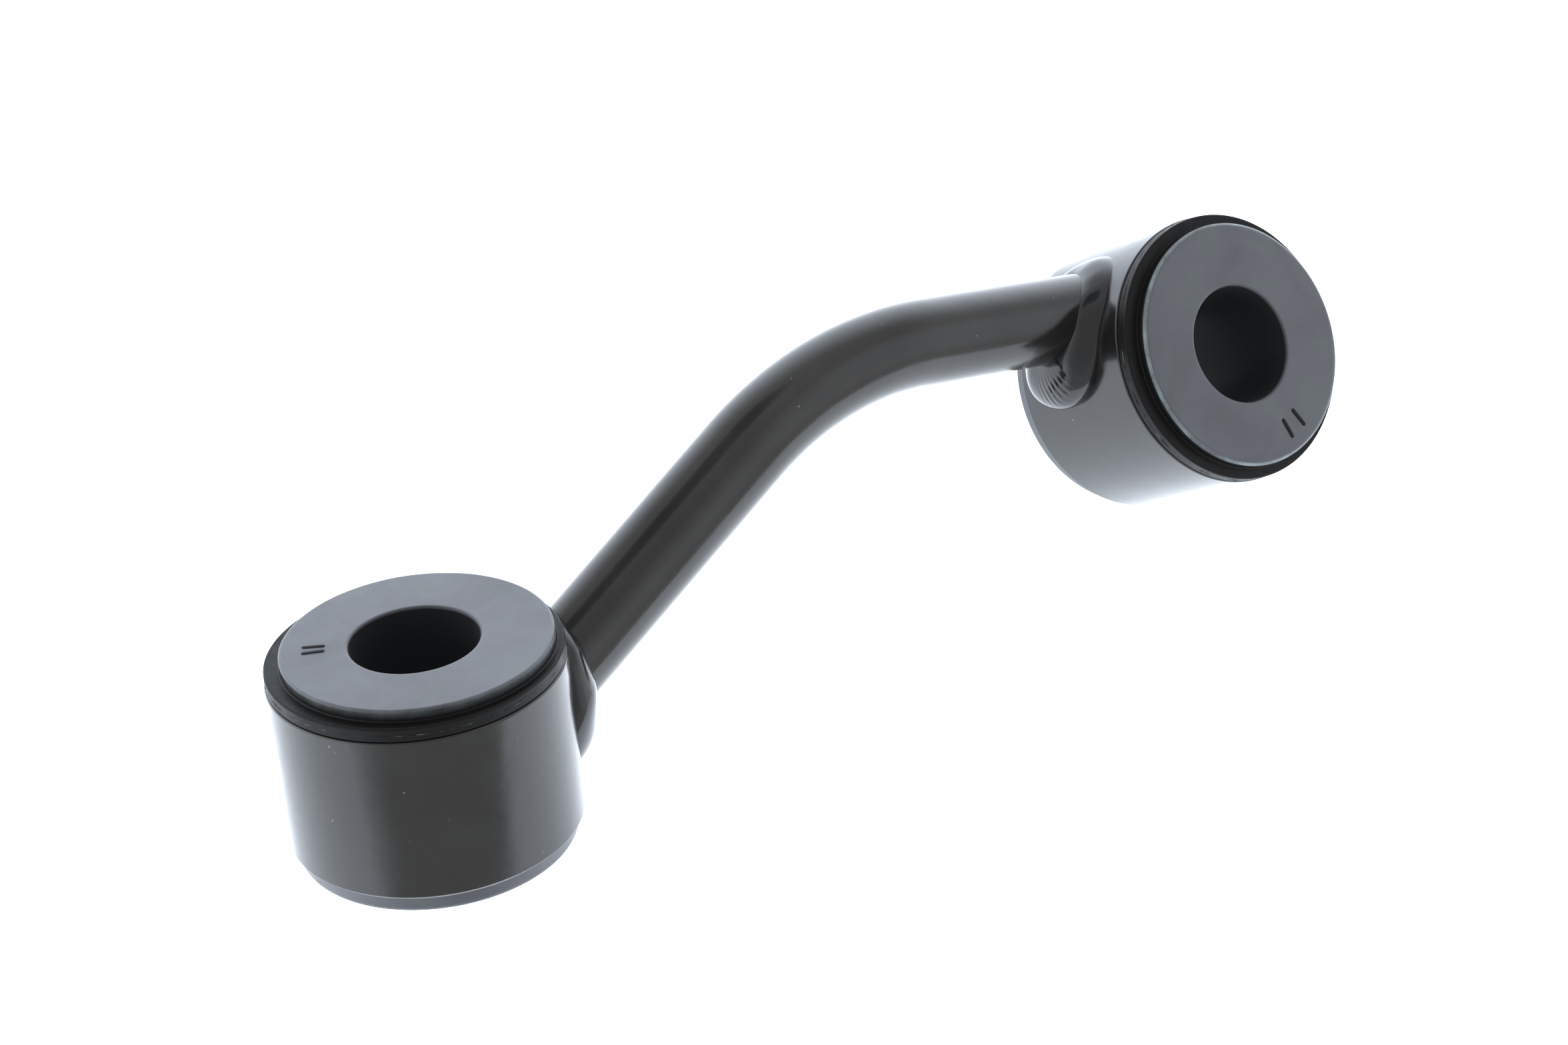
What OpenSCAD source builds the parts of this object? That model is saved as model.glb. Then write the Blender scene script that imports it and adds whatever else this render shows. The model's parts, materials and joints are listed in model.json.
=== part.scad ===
// Sway-bar link: one bent round rod with a welded eye on each end and a rubber bush in each eye.
// Millimetres. The origin is the middle of the lower eye, +Z runs along its bore towards the bush's
// lip, and the rod leaves that eye towards +X.

/* [Eyes] */
// Outside diameter of each eye's tube
sleeve_d = 38; // [34:0.5:46]
// Wall of each eye's tube
sleeve_wall = 2.5; // [2:0.1:3.5]
// Length of each eye's tube
sleeve_l = 22.7; // [20:0.1:30]
// Chamfer on the tube's end at the bush's boss side
sleeve_chamfer = 0.5; // [0.2:0.1:1]

/* [Rod] */
// Diameter of the rod
rod_d = 12; // [9:0.5:14]
// Straight length from the lower eye's tube to the bend, along the rod's middle
lower_straight = 40.5; // [25:0.5:90]
// Straight length from the bend to the upper eye's tube, along the rod's middle
upper_straight = 26; // [12:0.5:60]
// Radius of the bend, to the rod's middle
bend_r = 46.5; // [25:0.5:80]
// Angle that the rod turns through in the bend
bend_angle = 39.5; // [20:0.5:70]
// Angle at which the rod climbs away from the lower eye
rod_rise = 29.5; // [10:0.5:36]
// Height of the rod's root above the middle of the lower eye
root_height = 0.5; // [-2:0.5:2]
// Angle by which the bend leans over to the side, about the rod
bend_lean = 9; // [-30:0.5:30]
// Angle by which the upper eye is turned about the rod, from square to the bend
eye_turn = 21; // [-90:0.5:90]
// How far to the side of the upper eye's middle the rod's middle passes
upper_offset = 9; // [0:0.5:9.5]

/* [Welds] */
// Leg of each fillet weld along the tube, outwards from the rod
weld_leg = 4; // [2:0.1:5]
// How far each weld's rounded back stands off the tube
weld_height = 2.8; // [1.5:0.1:3.5]
// Radius of that rounded back
weld_back_r = 4; // [3:0.1:6]

/* [Bushes] */
// Bore through each bush
bore_d = 16.5; // [12:0.5:18]
// Thickness of the lip that stops the bush against the tube's end
lip_t = 1.8; // [1:0.1:3]
// How far the side of the raised boss at the lip's end stands inside the tube's outside
face_boss_inset = 1.7; // [1:0.1:5]
// Height of that boss above the lip
face_boss_h = 1.7; // [0.8:0.1:3]
// How far the side of the boss at the other end stands inside the tube's outside
rear_boss_inset = 1; // [0.5:0.1:1.9]
// Height of that boss beyond the tube
rear_boss_h = 2.2; // [1:0.1:4]
// Chamfer on the rubber's outer corners
bush_chamfer = 0.5; // [0.2:0.1:0.7]

/* [Fits] */
// Clearance on radius between each bush and its tube
bush_clearance = 0.05; // [0.02:0.01:0.09]
// Clearance between each tube's end and the rubber that stands over it
end_clearance = 0.1; // [0.05:0.01:0.3]

/* [Hidden] */
$fn = 96;
sleeve_r = sleeve_d / 2;
tube_r = sleeve_r - sleeve_wall;
rod_r = rod_d / 2;
bush_r = tube_r - bush_clearance;
bore_r = bore_d / 2;
face_boss_r = sleeve_r - face_boss_inset;
rear_boss_r = sleeve_r - rear_boss_inset;
// Heights along an eye's axis, from the middle of its tube
tube_end = sleeve_l / 2;
lip_low = tube_end + end_clearance;
lip_top = lip_low + lip_t;
face_z = lip_top + face_boss_h;
rear_z = -tube_end - end_clearance - rear_boss_h;
// From the rod's end on the upper tube to square beside that eye's middle, along the rod
upper_reach = sqrt(sleeve_r ^ 2 - upper_offset ^ 2);
// Length of bar that runs on into each tube before the tube's round is coped out of it
cope_l = sleeve_r / 2;
// How far each straight runs into the bend, and how much slimmer than the bend it is on radius
bend_lap = 0.5;
lap_slack = 0.02;
// Middle of a weld's rounded back: its distance from the rod's middle, and its height off the tube
weld_back_up = weld_height - weld_back_r;
weld_back_out = rod_r + weld_leg - sqrt(weld_back_r ^ 2 - weld_back_up ^ 2);
paint = "#24262a";
rubber = "#3c3e42";

// Carries its children to the rod's root on the lower eye, with +X along the rod
module at_lower_root() {
  translate([sleeve_r, 0, root_height]) rotate([-bend_lean, -rod_rise, 0]) children();
}

// Carries its children to the end of the bend, with +X along the upper straight
module at_bend_end() {
  at_lower_root() translate([lower_straight, 0, -bend_r]) rotate([0, bend_angle, 0])
    translate([0, 0, bend_r]) children();
}

// Carries its children to the middle of the upper eye, with +Z along its bore
module at_upper_eye() {
  at_bend_end() translate([upper_straight + upper_reach, 0, 0]) rotate([90 - eye_turn, 0, 0])
    translate([0, -upper_offset, 0]) children();
}

// Carries its children to the rod's root on the upper eye, with +X straight out of the tube
module at_upper_root() {
  at_upper_eye() rotate([0, 0, 180 - asin(upper_offset / sleeve_r)]) translate([sleeve_r, 0, 0])
    children();
}

// The solid round that an eye's tube fills, which the rod and the weld are cut back from
module eye_round() {
  cylinder(r = sleeve_r, h = 4 * sleeve_r, center = true);
}

// One bent bar, long enough at both ends to be coped to the tubes. Each straight runs a lap into the
// bend, a hair slimmer than it, so that the three lengths are one solid.
module bar() {
  at_lower_root() rotate([0, 90, 0]) translate([0, 0, -cope_l])
    cylinder(r = rod_r - lap_slack, h = cope_l + lower_straight + bend_lap);
  at_lower_root() translate([lower_straight, 0, -bend_r]) rotate([90, 0, 0])
    rotate_extrude(angle = bend_angle, start = 90 - bend_angle)
      translate([bend_r, 0]) circle(r = rod_r);
  at_bend_end() rotate([0, 90, 0]) translate([0, 0, -bend_lap])
    cylinder(r = rod_r - lap_slack, h = bend_lap + upper_straight + cope_l);
}

module link_rod() {
  color(paint) difference() {
    bar();
    eye_round();
    at_upper_eye() eye_round();
  }
}

// One eye's tube, standing on its own axis
module sleeve() {
  color(paint) rotate_extrude() difference() {
    translate([tube_r, -tube_end]) square([sleeve_wall, sleeve_l]);
    translate([sleeve_r, -tube_end]) rotate(45)
      square(sleeve_chamfer * sqrt(2), center = true);
  }
}

module lower_sleeve() {
  sleeve();
}

module upper_sleeve() {
  at_upper_eye() sleeve();
}

// A ring of weld metal about the rod's root, lying on the YZ plane with its round back towards +X
module bead_ring() {
  rotate([0, 90, 0]) rotate_extrude() translate([weld_back_out, weld_back_up])
    circle(r = weld_back_r);
}

// The width of tube that a weld can lie on, from one end of an eye to the other
module weld_band() {
  cylinder(r = 2 * sleeve_r, h = sleeve_l, center = true);
}

module lower_weld() {
  color(paint) difference() {
    intersection() {
      translate([sleeve_r, 0, root_height]) bead_ring();
      weld_band();
    }
    eye_round();
    bar();
  }
}

module upper_weld() {
  color(paint) difference() {
    intersection() {
      at_upper_root() bead_ring();
      at_upper_eye() weld_band();
    }
    at_upper_eye() eye_round();
    bar();
  }
}

// One bush, a single round moulding with its lip towards +Z
module bush() {
  color(rubber) rotate_extrude() polygon([
    [bore_r, rear_z],
    [rear_boss_r - bush_chamfer, rear_z],
    [rear_boss_r, rear_z + bush_chamfer],
    [rear_boss_r, -tube_end - end_clearance],
    [bush_r, -tube_end - end_clearance],
    [bush_r, lip_low],
    [sleeve_r, lip_low],
    [sleeve_r, lip_top - bush_chamfer],
    [sleeve_r - bush_chamfer, lip_top],
    [face_boss_r, lip_top],
    [face_boss_r, face_z - bush_chamfer],
    [face_boss_r - bush_chamfer, face_z],
    [bore_r, face_z]
  ]);
}

module lower_bush() {
  bush();
}

module upper_bush() {
  at_upper_eye() bush();
}

link_rod();
lower_sleeve();
upper_sleeve();
lower_weld();
upper_weld();
lower_bush();
upper_bush();
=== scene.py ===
import json
import math

import bpy
from mathutils import Matrix, Vector, noise


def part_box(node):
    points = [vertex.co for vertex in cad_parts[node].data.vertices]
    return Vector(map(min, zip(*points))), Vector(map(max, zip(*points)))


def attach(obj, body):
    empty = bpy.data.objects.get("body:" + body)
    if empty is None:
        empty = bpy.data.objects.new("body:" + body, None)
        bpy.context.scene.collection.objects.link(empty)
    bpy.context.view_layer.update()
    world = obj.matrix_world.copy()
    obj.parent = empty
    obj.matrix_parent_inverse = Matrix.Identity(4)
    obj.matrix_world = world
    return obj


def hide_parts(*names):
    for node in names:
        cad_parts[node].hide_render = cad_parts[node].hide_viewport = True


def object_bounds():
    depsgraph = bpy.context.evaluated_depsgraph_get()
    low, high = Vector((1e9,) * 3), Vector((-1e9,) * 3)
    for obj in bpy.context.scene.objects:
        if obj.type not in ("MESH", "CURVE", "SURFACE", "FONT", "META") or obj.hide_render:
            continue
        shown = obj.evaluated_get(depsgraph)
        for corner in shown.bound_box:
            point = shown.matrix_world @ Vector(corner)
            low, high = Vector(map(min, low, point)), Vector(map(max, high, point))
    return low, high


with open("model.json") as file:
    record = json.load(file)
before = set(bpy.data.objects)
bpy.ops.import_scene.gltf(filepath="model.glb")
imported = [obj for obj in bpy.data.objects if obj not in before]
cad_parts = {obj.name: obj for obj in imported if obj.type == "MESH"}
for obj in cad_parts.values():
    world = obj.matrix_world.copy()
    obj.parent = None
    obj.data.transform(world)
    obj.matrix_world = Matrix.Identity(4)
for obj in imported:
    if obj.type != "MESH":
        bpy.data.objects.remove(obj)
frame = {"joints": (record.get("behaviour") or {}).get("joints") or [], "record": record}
cad_low, cad_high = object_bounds()

# ---- The bar --------------------------------------------------------------------------------
# Cold-drawn round steel, cut to length and bent once over a former, its two ends coped to sit on
# the eyes. It is dipped in black paint after welding, so it is smooth, with a soft orange peel.

MM = 0.001
rod_r = 6 * MM
lower_straight = 40.5 * MM
upper_straight = 26 * MM
bend_r = 46.5 * MM
bend_angle = math.radians(39.5)
rod_rise = math.radians(29.5)
root_height = 0.5 * MM
bend_lean = math.radians(9)
# The bend's section is this share flatter in the bend's plane, eased in over a short run
bend_squeeze = 0.02
squeeze_run = 8 * MM
# How far the bar's ends run on inside the eyes' round, out of sight
end_sink = 0.4 * MM
rod_around = 128
rod_rings = 260

tube_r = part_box("lower_sleeve")[1].x
tube_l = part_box("lower_sleeve")[1].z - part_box("lower_sleeve")[0].z
bend_length = bend_r * bend_angle
bar_length = lower_straight + bend_length + upper_straight

lower_root = (Matrix.Translation((tube_r, 0, root_height)) @ Matrix.Rotation(-rod_rise, 4, "Y")
              @ Matrix.Rotation(-bend_lean, 4, "X"))
bend_middle = lower_root @ Matrix.Translation((lower_straight, 0, -bend_r))


def along_bar(distance):
    """The bar's frame at a distance from its lower root: +X runs along the bar."""
    if distance < lower_straight:
        return lower_root @ Matrix.Translation((distance, 0, 0))
    bent = min(distance - lower_straight, bend_length) / bend_r
    past_bend = max(distance - lower_straight - bend_length, 0)
    return (bend_middle @ Matrix.Rotation(bent, 4, "Y")
            @ Matrix.Translation((past_bend, 0, bend_r)))


def eye_frame(joint, towards_bar):
    """An eye's frame: +Z along its bore, +X towards the bar that is welded to it."""
    up = Vector(joint["axis"]).normalized()
    out = (towards_bar - up * towards_bar.dot(up)).normalized()
    facing = Matrix((out, up.cross(out), up)).transposed().to_4x4()
    return Matrix.Translation(Vector(joint["pos_m"])) @ facing


joints = {joint["child"]: joint for joint in frame["joints"]}
lower_eye = eye_frame(joints["lower_bush"], along_bar(0).col[0].to_3d())
upper_eye = eye_frame(joints["upper_bush"], -along_bar(bar_length).col[0].to_3d())


def meet_tube(start, heading, eye, radius):
    """How far a line runs from start along heading before it meets a round about an eye's bore."""
    to_eye = eye.inverted()
    p = to_eye @ start
    d = to_eye.to_3x3() @ heading
    a = d.x * d.x + d.y * d.y
    b = p.x * d.x + p.y * d.y
    c = p.x * p.x + p.y * p.y - radius * radius
    return (-b - math.sqrt(b * b - a * c)) / a


def around_bar(angle, radius, squeeze=0.0):
    """A point on the bar's skin in its own frame; the bend squeezes the skin in its own plane."""
    return Vector((0, radius * (1 + squeeze / 2) * math.cos(angle),
                   radius * (1 - squeeze) * math.sin(angle)))


def skin_span(angle):
    """Where one straight line along the bar's skin starts and ends, sunk into both eyes' tubes."""
    point = around_bar(angle, rod_r)
    low, high = along_bar(0), along_bar(bar_length)
    start = meet_tube(low @ point, -low.col[0].to_3d(), lower_eye, tube_r - end_sink)
    end = meet_tube(high @ point, high.col[0].to_3d(), upper_eye, tube_r - end_sink)
    return -start, bar_length + end


def new_piece(name, points, faces, material, body, node):
    """A smooth mesh that stands for one CAD node."""
    mesh = bpy.data.meshes.new(name)
    mesh.from_pydata([tuple(p) for p in points], [], faces)
    mesh.validate()
    mesh.shade_smooth()
    piece = bpy.data.objects.new(name, mesh)
    bpy.context.scene.collection.objects.link(piece)
    mesh.materials.append(material)
    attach(piece, body)
    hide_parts(node)
    return piece


def ring_faces(rings, around, closed=False):
    """Quads between rings of points; closed joins the last ring to the first."""
    faces = []
    for ring in range(rings if closed else rings - 1):
        this_ring, next_ring = ring * around, (ring + 1) % rings * around
        for k in range(around):
            nxt = (k + 1) % around
            faces.append((this_ring + k, this_ring + nxt, next_ring + nxt, next_ring + k))
    return faces


def end_faces(rings, around):
    """The two flat faces that close an open stack of rings."""
    last_ring = (rings - 1) * around
    return [tuple(reversed(range(around))), tuple(range(last_ring, last_ring + around))]


def node_tree(name):
    """A new material, its shader, and the makers of its nodes, links, patterns and bumps."""
    material = bpy.data.materials.new(name)
    material.use_nodes = True
    tree = material.node_tree
    shader = tree.nodes["Principled BSDF"]

    def add(kind, **settings):
        made = tree.nodes.new(kind)
        for key, value in settings.items():
            if key in made.inputs:
                made.inputs[key].default_value = value
            else:
                setattr(made, key, value)
        return made

    def join(source, socket, target, target_socket):
        tree.links.new(source.outputs[socket], target.inputs[target_socket])

    place = add("ShaderNodeTexCoord")

    def pattern(kind="ShaderNodeTexNoise", **settings):
        made = add(kind, **settings)
        join(place, "Object", made, "Vector")
        return made

    def bump(source, strength, height, under=None):
        made = add("ShaderNodeBump", Strength=strength, Distance=height)
        join(source, "Fac", made, "Height")
        if under:
            join(under, "Normal", made, "Normal")
        return made

    return material, shader, add, join, pattern, bump


# A colour mix's sockets: its share, its two colours, and the colour that comes out
mix_share, mix_under, mix_over, mix_out = 0, 6, 7, 2


def ramp(add, stops):
    """A colour ramp from (position, grey or colour) stops."""
    made = add("ShaderNodeValToRGB")
    elements = made.color_ramp.elements
    while len(elements) < len(stops):
        elements.new(0.5)  # it is moved to its stop below
    for element, (position, value) in zip(elements, stops):
        colour = value if isinstance(value, tuple) else (value, value, value)
        element.position = position
        element.color = (*colour, 1)
    return made


def black_paint(name, base, gloss, peel):
    """Dipped black paint: faint mottling, orange peel, a few specks, and steel at worn edges, which
    on the eyes' chamfered ends also stands in for a painted highlight.
    """
    darkest, lightest = 0.7, 1.4
    speck_grey = (0.13, 0.13, 0.12, 1)
    bare_steel_and_highlight = (0.42, 0.41, 0.4, 1)
    glossier, duller = 0.04, 0.07
    peel_height, wave_height = 0.006 * MM, 0.06 * MM
    material, shader, add, join, pattern, bump = node_tree(name)
    shader.inputs["Specular IOR Level"].default_value = 0.5

    mottle = pattern(Scale=70.0, Detail=4.0, Roughness=0.6)
    shade = ramp(add, [(0.3, tuple(darkest * c for c in base)),
                       (0.7, tuple(lightest * c for c in base))])
    join(mottle, "Fac", shade, "Fac")

    dust = pattern("ShaderNodeTexVoronoi", Scale=620.0)
    speck = ramp(add, [(0.07, 1.0), (0.11, 0.0)])
    join(dust, "Distance", speck, "Fac")
    patchy = pattern(Scale=260.0, Detail=2.0)
    few = ramp(add, [(0.6, 0.0), (0.66, 1.0)])
    join(patchy, "Fac", few, "Fac")
    dusty = add("ShaderNodeMath", operation="MULTIPLY")
    join(speck, "Color", dusty, 0)
    join(few, "Color", dusty, 1)
    colour = add("ShaderNodeMix", data_type="RGBA")
    join(dusty, 0, colour, mix_share)
    join(shade, "Color", colour, mix_under)
    colour.inputs[mix_over].default_value = speck_grey

    smear = pattern(Scale=160.0, Detail=6.0, Roughness=0.65)
    # The attribute marks worn edges and painted highlights, and both take the bare steel colour
    edge = add("ShaderNodeAttribute", attribute_name="wear_and_highlight")
    chipped_and_highlit = add("ShaderNodeMath", operation="MULTIPLY")
    join(edge, "Fac", chipped_and_highlit, 0)
    join(smear, "Fac", chipped_and_highlit, 1)
    steel = add("ShaderNodeMix", data_type="RGBA")
    join(chipped_and_highlit, 0, steel, mix_share)
    join(colour, mix_out, steel, mix_under)
    steel.inputs[mix_over].default_value = bare_steel_and_highlight
    join(steel, mix_out, shader, "Base Color")

    rough = ramp(add, [(0.35, gloss - glossier), (0.75, gloss + duller)])
    join(smear, "Fac", rough, "Fac")
    join(rough, "Color", shader, "Roughness")

    fine = bump(pattern(Scale=1100.0, Detail=1.0), peel, peel_height)
    broad = bump(pattern(Scale=230.0, Detail=2.0), peel, wave_height, fine)
    join(broad, "Normal", shader, "Normal")
    return material


rod_paint = black_paint("rod_paint", base=(0.0158, 0.015, 0.014), gloss=0.15, peel=0.5)

rod_points = []
for ring in range(rod_rings):
    share = ring / (rod_rings - 1)
    for k in range(rod_around):
        angle = math.tau * k / rod_around
        start, end = skin_span(angle)
        distance = start + share * (end - start)
        into_bend = min(distance - lower_straight, lower_straight + bend_length - distance)
        squeeze = bend_squeeze * min(max(into_bend / squeeze_run, 0), 1)
        rod_points.append(along_bar(distance) @ around_bar(angle, rod_r, squeeze))
rod_faces = ring_faces(rod_rings, rod_around) + end_faces(rod_rings, rod_around)
new_piece("bent_bar", rod_points, rod_faces, rod_paint, "link", "link_rod")

# ---- The two eyes ---------------------------------------------------------------------------
# Two lengths of the same steel tube, parted off in a lathe: the end under the bush's lip is
# broken with a file, and the other has a small turned chamfer. They are painted with the bar.

tube_wall = 2.5 * MM
tube_chamfer = 0.5 * MM
edge_break = 0.3 * MM
chamfer_break = 0.1 * MM
turned_around = 256
# A corner's arc takes at most this share of each side, and a point beside each end of it, this far
# off or this share of the side, keeps the shading of the flats flat
longest_reach = 0.45
guard = 0.12 * MM
guard_share = 0.04
# The chamfered end shows bare steel over its outermost part, this wide: partly worn thin paint,
# partly a painted highlight along the chamfer
bare_and_highlit_width = 1.2 * tube_chamfer


def rounded(corners, steps=6):
    """A closed outline from (radius, height, rounding) corners, each corner turned to an arc."""
    outline = []
    for i, (r, z, size) in enumerate(corners):
        here = Vector((r, z))
        before = Vector(corners[i - 1][:2]) - here
        after = Vector(corners[(i + 1) % len(corners)][:2]) - here
        opening = before.angle(after)
        reach = min(size / math.tan(opening / 2), longest_reach * before.length,
                    longest_reach * after.length)
        first, last = before.normalized() * reach, after.normalized() * reach
        outline.append(here + first
                       + before.normalized() * min(guard, guard_share * before.length))
        for step in range(steps + 1):
            t = step / steps
            outline.append(here + first * (1 - t) ** 2 + last * t ** 2)
        outline.append(here + last + after.normalized() * min(guard, guard_share * after.length))
    return outline


def turned(outline, place, around=turned_around, shift=None):
    """Points and faces of an outline of (radius, height) turned about an eye's bore."""
    points = []
    for r, z in outline:
        for k in range(around):
            angle = math.tau * k / around
            out, up = shift(r, z, angle) if shift else (r, z)
            points.append(place @ Vector((out * math.cos(angle), out * math.sin(angle), up)))
    return points, ring_faces(len(outline), around, closed=True)


tube_paint = black_paint("tube_paint", base=(0.0092, 0.009, 0.0086), gloss=0.17, peel=0.45)
tube_end = tube_l / 2
tube_outline = rounded([
    (tube_r - tube_wall, -tube_end, edge_break),
    (tube_r - tube_wall, tube_end, edge_break),
    (tube_r, tube_end, edge_break),
    (tube_r, -tube_end + tube_chamfer, chamfer_break),
    (tube_r - tube_chamfer, -tube_end, chamfer_break),
])
for name, eye in (("lower", lower_eye), ("upper", upper_eye)):
    points, faces = turned(tube_outline, eye)
    tube = new_piece(name + "_eye", points, faces, tube_paint, "link", name + "_sleeve")
    wear_and_highlight = tube.data.attributes.new("wear_and_highlight", "FLOAT", "POINT")
    for i, (r, z) in enumerate(tube_outline):
        # Bare steel on the chamfered end: partly worn paint, partly a painted highlight
        bare_and_highlit = 1 if z < tube_chamfer - tube_end and r > tube_r - bare_and_highlit_width else 0
        for k in range(turned_around):
            wear_and_highlight.data[i * turned_around + k].value = bare_and_highlit

# ---- The two welds --------------------------------------------------------------------------
# A wire-fed fillet weld round each end of the bar, laid in short passes from above and below, so
# it is a fat smooth lens where a pass ran and thin between them, with a few ripples at its end.

weld_around = 720
weld_across = 26
# Between passes, the leg along the tube, and how full the back is, from 0 for flat to 1 for round
thin_leg = 2 * MM
thin_full = 0.3
# The leg along the bar is this much and this share of the leg along the tube
bar_leg_least = 2.1 * MM
bar_leg_share = 0.38
# Slow lumps round the bead, and how much of them each leg shows
lump_scale = 1.7
lump_on_tube = 0.1
lump_on_bar = 0.08
# The crater's ripples: their pitch on a round of radius ripple_r, how far they bow, their height
# about a middle level, the share of it that lifts off the tube, and, in degrees of a full turn
# over the back from the bar to the tube, the (middle, width) of the patch that they show on
ripple_pitch = 0.75 * MM
ripple_r = 1.35 * rod_r
ripple_bow = 2.2
ripple_height = 0.11 * MM
ripple_level = 0.6
ripple_lift = 0.7
ripple_across = (115, 110)
# A softer unevenness all over the back
grain_height = 0.07 * MM
grain_scale = 2.6
grain_run = 1.4
# The bead's edges are sunk this far into the bar and the tube, and its hidden root further
edge_sink = 0.3 * MM
root_inwards = 0.8 * MM
root_down = 0.5 * MM
weld_paint = black_paint("weld_paint", base=(0.0098, 0.0102, 0.011), gloss=0.13, peel=0.7)


def near(angle, middle, width):
    """1 at a middle angle in degrees, falling softly to 0 at a width to either side of it."""
    away = abs((math.degrees(angle) - middle + 180) % 360 - 180)
    return 0.5 + 0.5 * math.cos(math.pi * min(away / width, 1))


def weld(name, eye, distance, outward, passes, crater, seed):
    """One bead round the bar at a distance along it; outward is +1 or -1, away from the eye.

    passes are (middle, width, leg in mm, fullness) round the bar, and crater is the (middle,
    width) of the rippled patch where the last pass ended, all in degrees.
    """
    bar = along_bar(distance)
    away = bar.col[0].to_3d() * outward
    to_eye = eye.inverted()
    rows = [[] for _ in range(weld_across + 3)]
    for k in range(weld_around):
        angle = math.tau * k / weld_around
        skin = bar @ around_bar(angle, rod_r)
        foot = skin - away * meet_tube(skin, -away, eye, tube_r)
        middle = bar.translation - away * (bar.translation - foot).dot(away)
        side = (foot - middle).normalized()
        leg, full = thin_leg, thin_full
        for pass_middle, width, size, fullness in passes:
            weight = near(angle, pass_middle, width)
            leg += weight * size * MM
            full += weight * fullness
        place = Vector((math.cos(angle), math.sin(angle), seed))
        lump = noise.noise(place * lump_scale)
        leg *= 1 + lump_on_tube * lump
        bar_leg = bar_leg_least + leg * (bar_leg_share + lump_on_bar * lump)
        rippled = near(angle, *crater)

        # The bead runs out over the tube's round along this way: round the bore, and along it
        local_foot = to_eye @ foot
        local_side = to_eye.to_3x3() @ side
        turn = Vector((-local_foot.y, local_foot.x)).normalized()
        run = Vector((local_side.x * turn.x + local_side.y * turn.y, local_side.z)).normalized()

        rows[0].append(foot + away * bar_leg - side * edge_sink)
        for row in range(weld_across):
            t = row / (weld_across - 1)
            sweep = t * math.pi / 2
            climb = (1 - t) * (1 - full) + math.cos(sweep) * full
            spread = t * (1 - full) + math.sin(sweep) * full
            swell = math.sin(math.pi * t)
            phase = angle * ripple_r / ripple_pitch * math.pi + ripple_bow * swell
            patch = rippled * near(t * math.tau, *ripple_across)
            ripple = ripple_height * patch * (abs(math.sin(phase)) - ripple_level)
            grain = grain_height * swell * noise.noise(
                place * grain_scale + Vector((0, 0, grain_run * t)))
            on_bar = to_eye @ (foot + away * (bar_leg * climb) + side * (ripple + grain))
            reach = leg * spread + ripple
            radius = Vector((on_bar.x, on_bar.y)).length + grain + ripple_lift * ripple
            around = math.atan2(on_bar.y, on_bar.x) + reach * run.x / tube_r
            rows[row + 1].append(eye @ Vector((radius * math.cos(around),
                                               radius * math.sin(around),
                                               on_bar.z + reach * run.y)))
        toe = to_eye @ rows[weld_across][k]
        toe.xy *= (tube_r - edge_sink) / tube_r
        rows[weld_across + 1].append(eye @ toe)
        rows[weld_across + 2].append(foot - side * root_inwards - away * root_down)
    points = [p for row in rows for p in row]
    faces = ring_faces(len(rows), weld_around, closed=True)
    new_piece(name + "_bead", points, faces, weld_paint, "link", name + "_weld")


weld("lower", lower_eye, distance=0, outward=1,
     passes=[(195, 95, 3.8, 0.85), (290, 60, 1.6, 0.3), (85, 70, 1.2, 0.6)],
     crater=(235, 26), seed=1.7)
weld("upper", upper_eye, distance=bar_length, outward=-1,
     passes=[(256, 84, 4.5, 0.85), (85, 80, 1.2, 0.75)],
     crater=(246, 26), seed=4.2)

# ---- The two bushes -------------------------------------------------------------------------
# One moulding in dense black rubber each, pushed into its tube until its lip stops it. The mould's
# split leaves a torn feather of flash round the lip, and its face leaves two short raised strokes.

bush_clearance = 0.05 * MM
end_clearance = 0.1 * MM
lip_t = 1.8 * MM
# The face and the lip stand a hair inside their full size, which leaves room for strokes and flash
face_room = 0.05 * MM
lip_room = 0.14 * MM
bore_r = frame["record"]["mounts"][0]["dims"]["r_mm"] * MM
bush_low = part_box("lower_bush")[0].z
bush_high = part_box("lower_bush")[1].z - face_room
bush_r = tube_r - tube_wall - bush_clearance
lip_low = tube_end + end_clearance
lip_top = lip_low + lip_t
lip_r = tube_r - lip_room
face_boss_r = 17.3 * MM
rear_boss_r = 18 * MM


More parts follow.
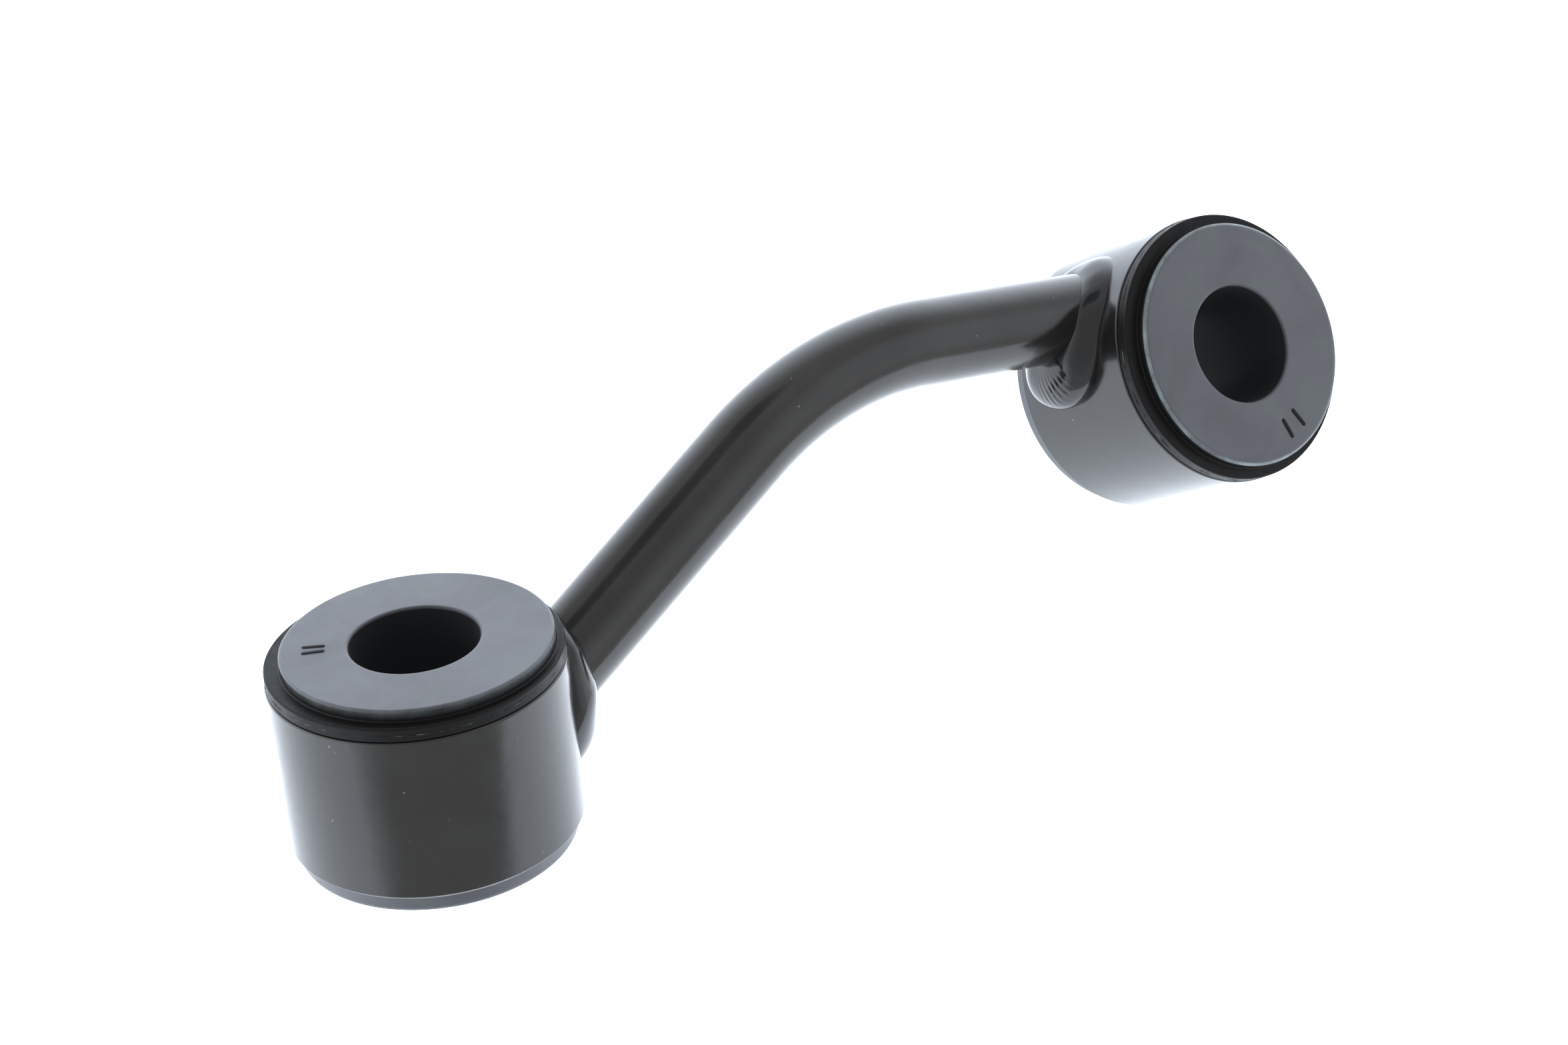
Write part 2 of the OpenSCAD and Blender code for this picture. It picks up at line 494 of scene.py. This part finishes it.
def moulded_rubber(name, black, bloom):
    """Matt black rubber, with a waxy bloom on the faces that shines and greys, and a lighter colour
    painted on along edges as a highlight.
    """
    film_weight = 0.65
    highlight_lighter = 3.2
    highlight_colour = (*(highlight_lighter * c for c in bloom[2]), 1)
    rough_height, pit_height = 0.02 * MM, 0.1 * MM
    material, shader, add, join, pattern, bump = node_tree(name)
    shader.inputs["Specular IOR Level"].default_value = 0.13
    shader.inputs["Coat Roughness"].default_value = 0.36

    cloud = pattern(Scale=75.0, Detail=6.0, Roughness=0.6, Distortion=0.8)
    tint = ramp(add, [(0.3, bloom[0]), (0.52, bloom[1]), (0.72, bloom[2])])
    join(cloud, "Fac", tint, "Fac")
    bloomed = add("ShaderNodeAttribute", attribute_name="bloom")
    colour = add("ShaderNodeMix", data_type="RGBA")
    join(bloomed, "Fac", colour, mix_share)
    colour.inputs[mix_under].default_value = (*black, 1)
    join(tint, "Color", colour, mix_over)

    patch = pattern(Scale=240.0, Detail=5.0, Roughness=0.6)
    broken = ramp(add, [(0.35, 0.1), (0.7, 1.0)])
    join(patch, "Fac", broken, "Fac")
    # A lighter colour painted on as a highlight, on the face's rim and on flecks of the flash
    edge = add("ShaderNodeAttribute", attribute_name="wear_and_highlight")
    highlit = add("ShaderNodeMath", operation="MULTIPLY")
    join(edge, "Fac", highlit, 0)
    join(broken, "Color", highlit, 1)
    wear_and_highlight = add("ShaderNodeMix", data_type="RGBA")
    join(highlit, 0, wear_and_highlight, mix_share)
    join(colour, mix_out, wear_and_highlight, mix_under)
    wear_and_highlight.inputs[mix_over].default_value = highlight_colour
    join(wear_and_highlight, mix_out, shader, "Base Color")

    film = add("ShaderNodeMath", operation="MULTIPLY")
    film.inputs[1].default_value = film_weight
    join(bloomed, "Fac", film, 0)
    join(film, 0, shader, "Coat Weight")
    rough = ramp(add, [(0.3, 0.36), (0.7, 0.52)])
    join(patch, "Fac", rough, "Fac")
    matt = add("ShaderNodeAttribute", attribute_name="matt")
    dull = add("ShaderNodeMath", operation="MAXIMUM")
    join(rough, "Color", dull, 0)
    join(matt, "Fac", dull, 1)
    join(dull, 0, shader, "Roughness")

    fine = bump(pattern(Scale=1500.0, Detail=3.0, Roughness=0.6), 0.3, rough_height)
    broad = bump(pattern(Scale=170.0, Detail=4.0), 0.4, pit_height, fine)
    join(broad, "Normal", shader, "Normal")
    return material


bush_rubber = moulded_rubber("bush_rubber", black=(0.0056, 0.0054, 0.0052),
                             bloom=[(0.05, 0.054, 0.06), (0.068, 0.071, 0.084),
                                    (0.078, 0.092, 0.096)])


def bush_corners(edge):
    """The moulding's corners, each with its rounding; edge is the one round its front face."""
    return [
        (bore_r, bush_low, 0.5 * MM),
        (bore_r, bush_high, 0.45 * MM),
        (face_boss_r, bush_high, edge),
        (face_boss_r, lip_top, 0.25 * MM),
        (lip_r, lip_top, 0.3 * MM),
        (lip_r, lip_low, 0.15 * MM),
        (bush_r, lip_low, 0.05 * MM),
        (bush_r, -lip_low, 0.05 * MM),
        (rear_boss_r, -lip_low, 0.2 * MM),
        (rear_boss_r, bush_low, 0.6 * MM),
    ]


def ring_noise(angle, scale, seed):
    """Noise round a ring that meets itself again; a larger scale gives more and smaller lumps."""
    return noise.noise(Vector((math.cos(angle) * scale, math.sin(angle) * scale, seed)))


# The mould's half over the lip sits this far off centre, and its pin, which leaves the bore and the
# rim round it, by a share of that
face_shift = 0.5 * MM
bore_share = 0.4
bore_rim = 2 * MM
shift_depth = 0.2 * MM
shift_margin = 0.5 * MM
# How far the rubber is from round and from flat, in lumps that are long along the bore. The noise
# is turned a little, because it leaves a faint crease where its Y is 0
out_of_round, round_lumps, round_run = 0.03 * MM, 1.5, 0.2
out_of_flat, flat_lumps = 0.04 * MM, 0.12
noise_turn = 0.4


def moulding(seed, slip):
    """How turned points move: the rubber isn't quite round or flat, and its face is off centre."""
    def shift(r, z, angle):
        noise_angle = angle + noise_turn
        out = up = 0
        if r < lip_r:
            out = out_of_round * ring_noise(noise_angle, round_lumps,
                                            round_lumps * seed + round_run * z / MM)
        if z > lip_top:
            lumps = flat_lumps * r / MM
            up = out_of_flat * ring_noise(noise_angle, lumps, lumps * seed)
        if z > lip_top - shift_depth and r < lip_r - shift_margin:
            part = 1 if r > bore_r + bore_rim else bore_share
            out += part * face_shift * math.cos(angle - slip)
        return r + out, z + up
    return shift


# The flash: how far it is below the lip's top, half its thickness, how deep its root is sunk, how
# it waves up and down, and how far it stands out, with broad tears and a fine fray
flash_around = 2 * turned_around
flash_below_top = 1 * MM
flash_half = 0.09 * MM
flash_sink = 0.05 * MM
flash_wave = 0.05 * MM
flash_waves = 20
flash_mean, flash_most = 0.02 * MM, 0.1 * MM
tear, tear_lumps = 0.1 * MM, 9
fray, fray_lumps = 0.08 * MM, 40


def flash(angle, seed):
    """How far the torn feather of rubber stands out of the lip at an angle."""
    torn = tear * ring_noise(angle, tear_lumps, seed)
    frayed = fray * ring_noise(angle, fray_lumps, seed + 5)
    return min(max(flash_mean + torn + frayed, 0), flash_most)


def flash_ring(eye, seed):
    """The feather itself: a thin closed fin round the side of the lip, with its tip in row 1."""
    points = []
    for height, tip in ((flash_half, False), (0, True), (-flash_half, False)):
        for k in range(flash_around):
            angle = math.tau * k / flash_around
            out, up = lip_r - flash_sink, lip_top - flash_below_top + height
            if tip:
                out = lip_r + flash(angle, seed)
                up += flash_wave * noise.noise(Vector((angle * flash_waves, seed, 0)))
            points.append(eye @ Vector((out * math.cos(angle), out * math.sin(angle), up)))
    return points, ring_faces(3, flash_around, closed=True)


# The strokes, whose foot is sunk by a share of their height
stroke_width = 0.7 * MM
stroke_height = 0.12 * MM
stroke_foot = 0.6
stroke_rings = 6
stroke_around = 28


def face_stroke(eye, start, end):
    """A raised stroke with round ends and a domed back, between two points on a bush's face."""
    points = []
    reach = (end - start) / 2
    middle = (start + end) / 2
    along = reach.normalized()
    across = Vector((-along.y, along.x, 0))
    for ring in range(stroke_rings):
        sweep = ring / (stroke_rings - 1) * math.pi / 2
        half = stroke_width / 2 * (0.5 + 0.5 * math.cos(sweep))
        rise = Vector((0, 0, stroke_height * ((1 + stroke_foot) * math.sin(sweep) - stroke_foot)))
        for k in range(stroke_around):
            angle = math.tau * k / stroke_around
            to_end = math.copysign(reach.length - stroke_width / 2, math.cos(angle))
            points.append(eye @ (middle + along * (half * math.cos(angle) + to_end)
                                 + across * (half * math.sin(angle)) + rise))
    return points, (ring_faces(stroke_rings, stroke_around)
                    + end_faces(stroke_rings, stroke_around))


def merged(parts):
    """One list of points and one of faces from several."""
    points, faces = [], []
    for part_points, part_faces in parts:
        first = len(points)
        points.extend(part_points)
        faces.extend(tuple(i + first for i in face) for face in part_faces)
    return points, faces


def on_face(r, degrees):
    """A point on a bush's face."""
    return Vector((r * math.cos(math.radians(degrees)), r * math.sin(math.radians(degrees)),
                   bush_high))


# Where the bloom, the painted highlight on the face's rim and the dull bore start and stop on the
# moulding
bloom_depth = 0.5 * MM
rim_depth, rim_width = 0.5 * MM, 0.4 * MM
rear_margin, rear_bore_margin = 0.1 * MM, 1 * MM
bore_depth, bore_bloom, bore_matt = 0.2 * MM, 0.1, 0.95
# Flecks of painted highlight along the flash's tip: their lumps round the ring, their gain and
# their threshold
fleck_lumps, fleck_gain, fleck_level = 14, 4, 0.3


def bush(name, eye, seed, slip, mark_at, mark_spread, mark_inner, mark_outer, edge, rim_highlight):
    """One bush. slip is the way its face is shifted, and mark_at where its two strokes are."""
    outline = rounded(bush_corners(edge))
    body, body_faces = turned(outline, eye, shift=moulding(seed, slip))
    shapes = [(body, body_faces), flash_ring(eye, seed)]
    for degrees in (mark_at - mark_spread, mark_at + mark_spread):
        shapes.append(face_stroke(eye, on_face(mark_inner, degrees), on_face(mark_outer, degrees)))
    points, faces = merged(shapes)
    piece = new_piece(name + "_rubber", points, faces, bush_rubber, name + "_bush",
                      name + "_bush")
    bloom = piece.data.attributes.new("bloom", "FLOAT", "POINT")
    wear_and_highlight = piece.data.attributes.new("wear_and_highlight", "FLOAT", "POINT")
    matt = piece.data.attributes.new("matt", "FLOAT", "POINT")
    for i, (r, z) in enumerate(outline):
        on_top = min(max((z - bush_high) / bloom_depth + 1, 0), 1)
        below = 1 if z < -lip_low - rear_margin and r > bore_r + rear_bore_margin else 0
        on_rim = z > bush_high - rim_depth and r > face_boss_r - rim_width
        in_bore = r < bore_r + bore_depth
        for k in range(i * turned_around, (i + 1) * turned_around):
            bloom.data[k].value = max(on_top, below, bore_bloom if in_bore else 0)
            # The face's rim takes the lighter colour of a painted highlight
            wear_and_highlight.data[k].value = rim_highlight if on_rim else 0
            matt.data[k].value = bore_matt if in_bore else 0
    # Lighter flecks along the flash's tip are a painted highlight
    flash_tip = len(body) + flash_around
    for k in range(flash_around):
        fleck = ring_noise(math.tau * k / flash_around, fleck_lumps, seed + 9)
        wear_and_highlight.data[flash_tip + k].value = min(max(fleck_gain * fleck - fleck_level, 0), 1)


bush("lower", lower_eye, seed=3.1, slip=-0.7, mark_at=144.5, mark_spread=3.2,
     mark_inner=10.9 * MM, mark_outer=13.9 * MM, edge=0.4 * MM, rim_highlight=0.2)
bush("upper", upper_eye, seed=8.4, slip=3.1, mark_at=117.5, mark_spread=5.5,
     mark_inner=12.3 * MM, mark_outer=15.5 * MM, edge=0.8 * MM, rim_highlight=0.9)

# ---- Floor, light and camera ----------------------------------------------------------------
# A pale sheet lies far below the link and is lit from itself, so no shadow shows on it. White walls
# stand at the back and sides, and the room overhead and behind the camera is dimmer.

floor_z = cad_low.z - 300 * MM
floor_front = 300 * MM
floor_back = 5000 * MM
floor_half = 3000 * MM
camera_place = Vector((-186.64, -313.2, 216.69)) * MM
camera_turn = (62.231, 4.142, -40.409)
to_camera = Vector((camera_place.x, camera_place.y, 0)).normalized()
beside = Vector((-to_camera.y, to_camera.x, 0))
floor_corners = [to_camera * along + beside * across for along, across in (
    (floor_front, floor_half), (floor_front, -floor_half),
    (-floor_back, -floor_half), (-floor_back, floor_half))]
floor_mesh = bpy.data.meshes.new("floor")
floor_mesh.from_pydata([(p.x, p.y, floor_z) for p in floor_corners], [], [(0, 1, 2, 3)])
floor = bpy.data.objects.new("floor", floor_mesh)
bpy.context.scene.collection.objects.link(floor)
floor_paper = bpy.data.materials.new("floor_paper")
floor_paper.use_nodes = True
paper = floor_paper.node_tree.nodes["Principled BSDF"]
paper.inputs["Base Color"].default_value = (0.85, 0.87, 0.9, 1)
paper.inputs["Roughness"].default_value = 0.9
paper.inputs["Emission Color"].default_value = (0.9, 0.98, 1.08, 1)
paper.inputs["Emission Strength"].default_value = 1.45
floor_mesh.materials.append(floor_paper)

lens = bpy.data.cameras.new("camera")
lens.sensor_width = 36
lens.lens = 76.44
lens.clip_start = 0.01
lens.dof.use_dof = False
camera = bpy.data.objects.new("camera", lens)
camera.location = camera_place
camera.rotation_euler = [math.radians(degrees) for degrees in camera_turn]
bpy.context.scene.collection.objects.link(camera)
bpy.context.scene.camera = camera

world = bpy.data.worlds.new("studio")
bpy.context.scene.world = world
world.use_nodes = True
nodes, links = world.node_tree.nodes, world.node_tree.links
direction = nodes.new("ShaderNodeTexCoord")


def lobe(towards, edge, core, low, high):
    """A soft patch of the surroundings: low outside an angle's cosine, high inside another."""
    aim = nodes.new("ShaderNodeVectorMath")
    aim.operation = "DOT_PRODUCT"
    aim.inputs[1].default_value = Vector(towards).normalized()
    links.new(direction.outputs["Generated"], aim.inputs[0])
    fall = nodes.new("ShaderNodeMapRange")
    fall.interpolation_type = "SMOOTHSTEP"
    for key, value in (("From Min", edge), ("From Max", core), ("To Min", low), ("To Max", high)):
        fall.inputs[key].default_value = value
    links.new(aim.outputs["Value"], fall.inputs["Value"])
    return fall.outputs["Result"]


def lit(glow, towards, edge, core, strength, tint):
    """The surroundings with one more bright wall. The first glow is the room's plain colour."""
    layer = nodes.new("ShaderNodeVectorMath")
    layer.operation = "MULTIPLY_ADD"
    links.new(lobe(towards, edge, core, 0, strength), layer.inputs[0])
    layer.inputs[1].default_value = tint
    if isinstance(glow, tuple):
        layer.inputs[2].default_value = glow
    else:
        links.new(glow, layer.inputs[2])
    return layer.outputs["Vector"]


def dimmed(glow, towards, edge, core, left):
    """The surroundings with one patch dimmed to what is left."""
    layer = nodes.new("ShaderNodeVectorMath")
    layer.operation = "SCALE"
    links.new(glow, layer.inputs[0])
    links.new(lobe(towards, edge, core, 1, left), layer.inputs["Scale"])
    return layer.outputs["Vector"]


room = (0.88, 0.89, 0.9)
back, left_side, right_side = (0.55, 0.70, 0.10), (-0.80, 0.55, -0.10), (0.97, -0.05, -0.15)
front, overhead = (0.40, -0.85, 0.35), (-0.2, 0.0, 1.0)
side_white = (0.92, 0.98, 1.06)
glow = lit(room, back, edge=0.30, core=0.90, strength=1.6, tint=(0.86, 0.98, 1.14))
glow = lit(glow, left_side, edge=0.45, core=0.92, strength=1.9, tint=side_white)
glow = lit(glow, right_side, edge=0.45, core=0.92, strength=1.0, tint=side_white)
glow = lit(glow, front, edge=0.80, core=0.96, strength=0.4, tint=(0.9, 0.98, 1.1))
glow = dimmed(glow, overhead, edge=0.955, core=0.985, left=0.25)
glow = dimmed(glow, camera_place, edge=0.70, core=0.97, left=0.75)
links.new(glow, nodes["Background"].inputs["Color"])
bpy.context.scene.view_settings.view_transform = "Standard"
